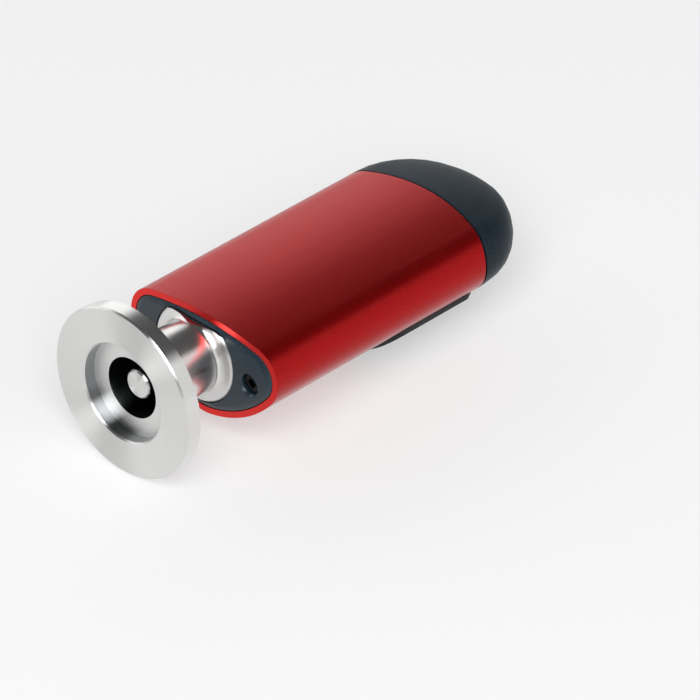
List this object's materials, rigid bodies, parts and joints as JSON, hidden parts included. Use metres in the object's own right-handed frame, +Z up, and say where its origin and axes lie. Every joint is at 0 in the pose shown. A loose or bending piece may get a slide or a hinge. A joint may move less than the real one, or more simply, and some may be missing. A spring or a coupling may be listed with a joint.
{
  "type": "pirani vacuum gauge",
  "caption": "Compact heat-loss vacuum gauge: turned steel clamp flange and neck, red three-cornered housing with rounded corners, slate front plate and domed rear cap with a cable socket.",
  "frame": {"origin": "centre of the sealing face of the flange", "axes": "+Y along the gauge from the flange to the rear cap, +Z up through the slightly curved top of the housing, +X to the side that has the front screw"},
  "size_m": [0.0332, 0.0808, 0.03],
  "materials": {
    "turned_steel": "lathe-turned satin",
    "filament_wire": "drawn wire",
    "post_wire": "drawn wire",
    "seal_glass": "fused bead",
    "gasket_rubber": "matte",
    "slate_plastic": "fine texture",
    "black_plastic": "matte",
    "bare_aluminium": "milled",
    "screw_steel": "plated",
    "black_steel": "black oxide",
    "insert_brass": "turned",
    "red_anodised": "satin red anodised",
    "board_laminate": "solder mask",
    "gilt_contact": "gold flash",
    "chip_body": "moulded",
    "capacitor_can": "sleeved can",
    "chip_ceramic": "fired",
    "trimmer_body": "moulded",
    "socket_plastic": "moulded"
  },
  "bodies": {
    "root": {"sensor_body": "turned_steel", "cell_tube": "turned_steel", "filament": "filament_wire", "filament_posts": "post_wire", "header_disc": "turned_steel", "glass_seals": "seal_glass", "sensor_gasket": "gasket_rubber", "front_plate": "slate_plastic", "clamp_plate": "bare_aluminium", "clamp_screws": "screw_steel", "tie_screw": "black_steel", "tie_insert": "insert_brass", "housing_shell": "red_anodised", "end_cap": "slate_plastic", "cap_screw": "screw_steel", "underside_panel": "black_plastic", "sensor_board": "board_laminate", "link_pins": "gilt_contact", "main_board": "board_laminate", "controller_chip": "chip_body", "amplifier_chips": "chip_body", "voltage_regulator": "chip_body", "storage_capacitors": "capacitor_can", "chip_resistors": "chip_ceramic", "crystal_can": "screw_steel", "trimmer": "trimmer_body", "modular_socket": "socket_plastic", "socket_contacts": "gilt_contact"}
  },
  "joints": []
}
